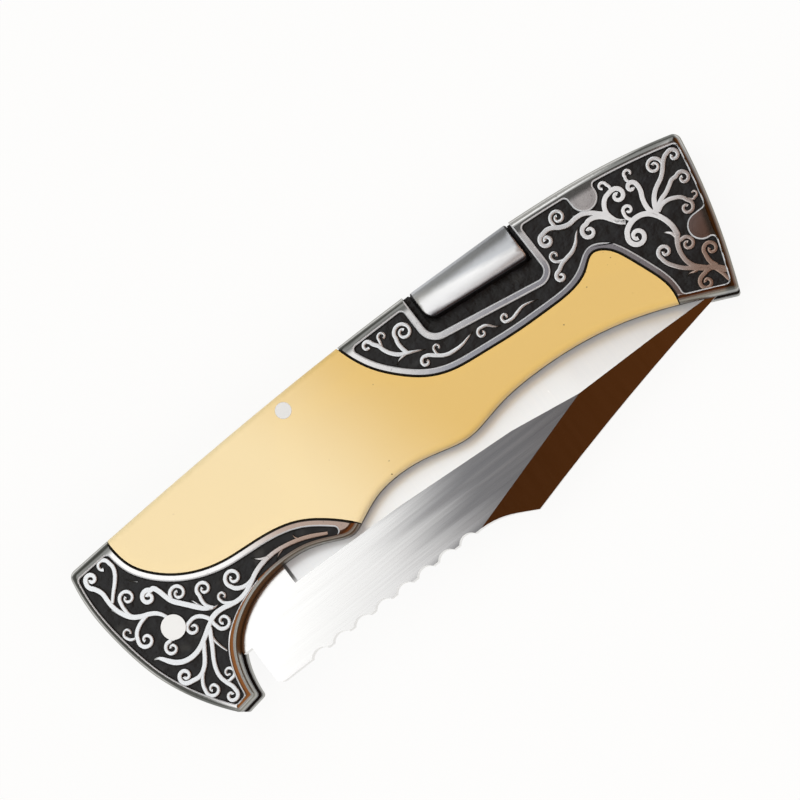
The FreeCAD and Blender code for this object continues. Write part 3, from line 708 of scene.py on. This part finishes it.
REAR_SCROLLS = [
    (0.4, 0.38, [(95.2, 9.9), (94.4, 10.6), (93.5, 11.5), (92.3, 12.2), (91.0, 12.35), (89.6, 12.25),
                 (88.3, 12.65), (87.2, 13.4), (86.2, 13.7)], (85.2, 12.4, 1.2, 80, 1.5)),
    (0.28, 0.32, [(88.5, 12.6), (87.7, 13.1)], (88.85, 14.25, 1.3, 200, -1.6)),
    (0.06, 0.24, [(90.5, 13.3), (91.0, 12.8), (91.9, 12.35)], None),
    (0.08, 0.34, [(90.5, 11.0), (89.5, 10.2), (88.6, 9.2), (87.4, 8.45), (86.0, 8.15), (84.8, 7.85),
                  (83.9, 7.35)], (83.55, 6.35, 0.85, 110, 1.2)),
    (0.25, 0.28, [(85.9, 8.15), (84.9, 8.35), (84.2, 8.9)], (84.7, 9.65, 0.75, 205, -0.85)),
    (0.4, 0.38, [(97.0, 6.9), (96.2, 7.6), (95.4, 8.7), (94.7, 9.7), (93.6, 10.5), (92.4, 10.75)],
     (91.45, 9.3, 1.3, 75, 1.35)),
    (0.4, 0.38, [(97.0, 6.9), (96.1, 7.7), (95.6, 8.8), (95.45, 10.0), (95.8, 11.0), (96.6, 11.9),
                 (97.6, 12.25)], (98.5, 11.1, 1.2, 80, -1.3)),
    (0.25, 0.28, [(98.2, 12.3), (98.35, 13.1)], (97.45, 13.75, 0.75, -10, 0.85)),
    (0.3, 0.3, [(97.9, 6.6), (97.5, 7.4)], (98.45, 8.2, 0.9, 185, -1.2)),
    (0.42, 0.42, [(102.2, 0.0), (102.4, 1.3), (102.3, 2.6), (101.9, 3.9), (101.2, 5.1), (100.2, 6.0),
                  (98.9, 6.4), (97.5, 6.25), (96.3, 5.6)], (97.05, 3.95, 1.6, 135, 1.6)),
    (0.42, 0.38, [(101.7, 4.6), (101.15, 5.8), (101.1, 7.0), (101.4, 8.3), (101.9, 9.4), (102.05, 10.3)],
     (101.1, 10.75, 0.95, -10, 1.1)),
    (0.25, 0.28, [(101.3, 11.6), (101.15, 12.4)], (102.0, 12.9, 0.75, 195, -0.85)),
    (0.42, 0.36, [(101.9, 5.3), (102.5, 6.6), (103.4, 7.7), (104.5, 8.45), (105.6, 9.0), (106.6, 9.8),
                  (107.5, 10.8), (108.4, 11.5)], (109.45, 10.7, 1.1, 125, -1.2)),
    (0.3, 0.32, [(106.9, 10.1), (107.3, 10.7)], (106.0, 11.25, 1.35, -5, 1.6)),
    (0.06, 0.24, [(104.4, 9.15), (104.6, 8.7), (105.2, 8.75)], None),
    (0.4, 0.34, [(102.0, 5.0), (102.7, 5.7), (103.7, 6.3), (104.8, 6.65), (105.9, 7.2), (106.9, 7.75)],
     (108.5, 6.85, 1.2, 130, -1.35)),
    (0.35, 0.32, [(102.2, 5.1), (103.2, 5.55), (104.4, 5.55), (105.6, 5.1), (106.5, 4.4)],
     (106.05, 2.75, 1.2, 50, -1.3)),
    (0.2, 0.24, [(107.1, 3.7), (107.8, 3.15)], (108.3, 3.85, 0.6, -115, 0.8)),
    (0.06, 0.34, [(100.4, 1.95), (101.1, 1.5), (101.7, 0.7), (101.75, -0.3)], None),
    (0.4, 0.34, [(102.9, -7.1), (101.9, -6.4), (100.8, -5.5), (99.7, -4.6), (98.8, -3.5), (98.05, -2.2)],
     (98.95, -0.75, 1.2, 205, -1.4)),
    (0.42, 0.38, [(102.2, 0.2), (101.5, -0.7), (101.0, -1.7), (100.75, -2.9), (100.8, -4.2), (101.3, -5.4),
                  (102.2, -6.4), (103.3, -7.3)], None),
    (0.28, 0.32, [(101.3, -0.9), (101.9, -0.8)], (102.6, -1.95, 1.2, 105, -1.4)),
    (0.4, 0.34, [(104.0, -7.8), (103.0, -7.25), (101.9, -7.35)], (101.25, -8.7, 1.2, 105, 1.35)),
    (0.06, 0.24, [(99.2, -6.05), (99.9, -5.9), (100.7, -6.15), (101.5, -6.3)], None),
    (0.4, 0.34, [(104.1, -7.6), (103.7, -6.5), (103.7, -5.4)], (105.05, -4.85, 1.3, 190, -1.4)),
    (0.4, 0.5, [(102.8, -6.9), (103.9, -7.8), (104.7, -8.7), (105.4, -9.5)], None),
    (0.3, 0.3, [(103.7, -7.9), (104.1, -9.2), (104.3, -10.4), (104.6, -11.2)], None),
    (0.08, 0.34, [(59.3, 10.5), (58.0, 11.2), (56.7, 11.8), (55.5, 12.4), (54.6, 13.3), (53.9, 14.5),
                  (53.6, 15.6), (53.0, 16.5)], (52.1, 16.7, 0.8, 20, 0.9)),
    (0.25, 0.26, [(53.75, 14.9), (54.1, 15.8)], (54.95, 16.5, 0.75, 195, -0.95)),
    (0.35, 0.34, [(56.6, 11.9), (56.35, 13.2), (56.4, 14.4)], (58.1, 14.95, 1.6, 190, -1.7)),
    (0.06, 0.3, [(54.0, 11.4), (55.0, 11.8), (56.2, 11.9)], None),
    (0.08, 0.32, [(67.0, 8.1), (65.7, 7.8), (64.4, 7.5), (62.8, 7.5), (61.2, 7.85), (60.0, 8.7),
                  (59.0, 9.5)], (58.15, 8.85, 0.95, 50, 1.1)),
    (0.22, 0.24, [(60.6, 8.2), (60.25, 9.0)], (60.9, 9.6, 0.65, 195, -0.85)),
    (0.08, 0.28, [(71.1, 6.1), (70.2, 6.6), (69.5, 7.4), (68.8, 7.75)], (68.05, 7.0, 0.9, 60, 1.15)),
    (0.08, 0.28, [(78.4, 5.8), (77.0, 6.2), (75.7, 6.4), (74.5, 6.15), (73.3, 5.85)],
     (72.5, 6.75, 0.85, -80, -1.15)),
]


def curl_points(centre_x, centre_y, radius, start, turns):
    """Points along a curl that winds in from its outer radius, further in when it has more turns."""
    turns *= curl_winding
    steps = max(curl_least_steps, round(abs(turns) * curl_steps))
    inner = curl_eye if abs(turns) > short_curl else short_curl_eye
    points = []
    for step in range(steps + 1):
        share = step / steps
        angle = math.radians(start + 360 * turns * share)
        reach = radius * (1 - (1 - inner) * share)
        points.append((centre_x + reach * math.cos(angle), centre_y + reach * math.sin(angle)))
    return points


def scroll_profile():
    """Section of a scroll with a half width of one: a low skirt, steep flanks and a rounded crest."""
    section = bpy.data.curves.new("scroll_section", "CURVE")
    outline = section.splines.new("POLY")
    half = [(1.5, -0.15), (1.45, 0.05), (1.06, 0.14), (0.98, 0.5), (0.94, 0.8), (0.86, 1.05),
            (0.7, 1.25), (0.4, 1.4)]
    corners = [(-x, y) for x, y in half] + [(0.0, 1.44)] + half[::-1]
    outline.points.add(len(corners) - 1)
    for point, (x, y) in zip(outline.points, corners):
        point.co = (x, y, 0, 1)
    outline.use_cyclic_u = True
    return bpy.data.objects.new("scroll_section", section)


def draw_scroll(drawing, start, stem, points, curl):
    """Adds one scroll to a curve drawing, tapered from its start and swelling to a bud at a curl's end."""
    line = list(points)
    widths = [start + (stem - start) * min(1, step / taper_points) for step in range(len(points))]
    if curl:
        winding = curl_points(*curl)
        line += winding
        widths += [stem * (1 - curl_taper * step / (len(winding) - 1)) for step in range(len(winding))]
        widths[-1] = stem * bud_width
    else:
        widths[-1] = stem * tip_width
    spline = drawing.splines.new("BEZIER")
    spline.bezier_points.add(len(line) - 1)
    spline.resolution_u = 5
    for point, (x, y), width in zip(spline.bezier_points, line, widths):
        point.co = (pivot.x + x * mm, pivot.y + y * mm, 0)
        point.handle_left_type = point.handle_right_type = "AUTO"
        point.radius = width * scroll_weight * mm


def ground_down(height):
    """Height over the field of a point on a scroll, once the scrolls' tops are ground nearly level."""
    if height <= 0:
        return height
    return height / (1 + (height / scroll_height) ** crest_grinding) ** (1 / crest_grinding)


def scroll_relief(name, scrolls, section, side):
    """Raised scrolls of one section, standing on the field of one bolster."""
    drawing = bpy.data.curves.new(name, "CURVE")
    drawing.dimensions = "2D"
    drawing.fill_mode = "NONE"
    drawing.bevel_mode = "OBJECT"
    drawing.bevel_object = section
    drawing.use_fill_caps = True
    for scroll in scrolls:
        draw_scroll(drawing, *scroll)
    draft = bpy.data.objects.new(name + "_draft", drawing)
    bpy.context.scene.collection.objects.link(draft)
    bpy.context.view_layer.update()
    mesh = bpy.data.meshes.new_from_object(draft.evaluated_get(bpy.context.evaluated_depsgraph_get()))
    bpy.data.objects.remove(draft)
    shape = bmesh.new()
    shape.from_mesh(mesh)
    for vert in shape.verts:
        vert.co.z = ground_down(vert.co.z)
    bmesh.ops.scale(shape, vec=(1, 1, side), verts=shape.verts)
    bmesh.ops.translate(shape, vec=(0, 0, middle_height + side * field_height), verts=shape.verts)
    bmesh.ops.remove_doubles(shape, verts=shape.verts, dist=scroll_merging)
    bmesh.ops.recalc_face_normals(shape, faces=shape.faces)
    # Painted shade, with the antiquing: the scrolls' flanks and feet take the black finish
    foot = field_height + scroll_foot
    for face in shape.faces:
        high = abs(face.calc_center_median().z - middle_height) > foot
        face.material_index = 0 if high and face.normal.z * side > scroll_crest else 1
    finished(shape, name, "handle", [scroll_metal, black], sharp=60)


scroll_section = scroll_profile()
bpy.context.scene.collection.objects.link(scroll_section)
for side, sign in SIDES.items():
    bolster(side + "_front_bolster")
    bolster(side + "_rear_bolster")
    scroll_relief(side + "_front_scrolls", FRONT_SCROLLS, scroll_section, sign)
    scroll_relief(side + "_rear_scrolls", REAR_SCROLLS, scroll_section, sign)
    smooth_piece(side + "_scale", "handle", resin)
    liner(side + "_liner")
    smooth_piece(side + "_pivot_washer", "handle", bronze)
bpy.data.objects.remove(scroll_section)
blade()
spine_bar("lock_bar", "lock_bar", -1)
spine_bar("back_spacer", "handle", 1, spacer_reach)
thumb_saddle()
lock_spring()
for pin in PINS:
    smooth_piece(pin, "handle", pin_steel)
for rivet in RIVETS:
    smooth_piece(rivet, "handle", cast)


# Stage, light and camera

def white_floor():
    """Pale floor that shows white, with the knife's soft shadow."""
    shape = bmesh.new()
    bmesh.ops.create_grid(shape, x_segments=1, y_segments=1, size=floor_half_size)
    bmesh.ops.translate(shape, vec=(0, 0, -floor_drop), verts=shape.verts)
    mesh = bpy.data.meshes.new("floor")
    shape.to_mesh(mesh)
    shape.free()
    material, shader, place = new_finish("white_floor")
    feed(shader, Base_Color=(0.9, 0.9, 0.89, 1), Roughness=0.9)
    tree = material.node_tree
    rays = tree.nodes.new("ShaderNodeLightPath")
    looks, mirrored, passed = (
        Tone(tree, rays.outputs["Is " + kind + " Ray"]) for kind in ("Camera", "Glossy", "Transmission"))
    glow = place.node("Emission", inputs={"Color": (1, 1, 0.995, 1), "Strength": 1.0})
    seen = place.math("MINIMUM", looks + mirrored + passed, floor_glow)
    blend = tree.nodes.new("ShaderNodeMixShader")
    tree.links.new(seen.socket, blend.inputs[0])
    tree.links.new(shader.outputs[0], blend.inputs[1])
    tree.links.new(glow.socket, blend.inputs[2])
    tree.links.new(blend.outputs[0], tree.nodes["Material Output"].inputs[0])
    mesh.materials.append(material)
    floor = bpy.data.objects.new("floor", mesh)
    bpy.context.scene.collection.objects.link(floor)


def room():
    """World that is pale round the horizon, white overhead on the spine's side and brown on the blade's."""
    world = bpy.data.worlds.new("room")
    bpy.context.scene.world = world
    world.use_nodes = True
    tree = world.node_tree
    coordinates = tree.nodes.new("ShaderNodeTexCoord")
    way = Tone(tree, coordinates.outputs["Generated"])
    across = (way.axis(1) - way.axis(0) * 1.2) * 0.5 + 0.5
    overhead = across.node("ValToRGB", {"stops": [
        (0.30, (0.30, 0.115, 0.035, 1)), (0.41, (0.10, 0.038, 0.012, 1)), (0.50, (0.14, 0.06, 0.025, 1)),
        (0.53, (0.18, 0.09, 0.045, 1)), (0.55, (0.29, 0.26, 0.25, 1)), (0.57, (0.37, 0.365, 0.38, 1)),
        (0.588, (0.48, 0.485, 0.495, 1)), (0.603, (1.0, 1.0, 1.0, 1)), (0.618, (1.3, 1.3, 1.29, 1)),
        (0.76, (1.26, 1.26, 1.25, 1)), (0.83, (0.40, 0.40, 0.375, 1)),
        (0.96, (0.26, 0.26, 0.23, 1))]}, {0: across})
    shade = way.axis(2).between(0.36, 0.6).mix((0.42, 0.42, 0.40, 1), overhead)
    tree.links.new(shade.socket, tree.nodes["Background"].inputs["Color"])


def lamp(name, place, power):
    """Soft square lamp that faces the knife, and shows in no polished face."""
    light = bpy.data.lights.new(name, "AREA")
    light.size = lamp_size
    light.energy = power
    holder = bpy.data.objects.new(name, light)
    holder.location = place
    holder.rotation_euler = (-Vector(place)).to_track_quat("-Z", "Y").to_euler()
    holder.visible_glossy = False
    bpy.context.scene.collection.objects.link(holder)


def camera():
    """Camera at the photograph's place, nearly overhead and turned in the picture plane."""
    lean = math.radians(8.5)
    bearing = math.radians(-71.16)
    turn = math.radians(-33.5)
    aim = pivot + Vector((51.088 * mm, 6.518 * mm, cover_height))
    distance = 600 * mm
    up = Vector((0, 0, 1))
    towards = Vector((math.cos(bearing), math.sin(bearing), 0))
    back = math.sin(lean) * towards + math.cos(lean) * up
    low = math.cos(lean) * towards - math.sin(lean) * up
    side = up.cross(towards)
    right = math.cos(turn) * low - math.sin(turn) * side
    top = math.sin(turn) * low + math.cos(turn) * side
    lens = bpy.data.cameras.new("camera")
    lens.sensor_width = 36.0
    lens.lens = 168.75
    holder = bpy.data.objects.new("camera", lens)
    turned = Matrix((right, top, back)).transposed().to_4x4()
    holder.matrix_world = Matrix.Translation(aim + back * distance) @ turned
    bpy.context.scene.collection.objects.link(holder)
    bpy.context.scene.camera = holder


white_floor()
room()
lamp("key", (-0.24, 0.32, 0.66), 2.12)
lamp("fill", (0.15, -0.42, 0.66), 3.5)
camera()
bpy.context.scene.view_settings.view_transform = "Standard"
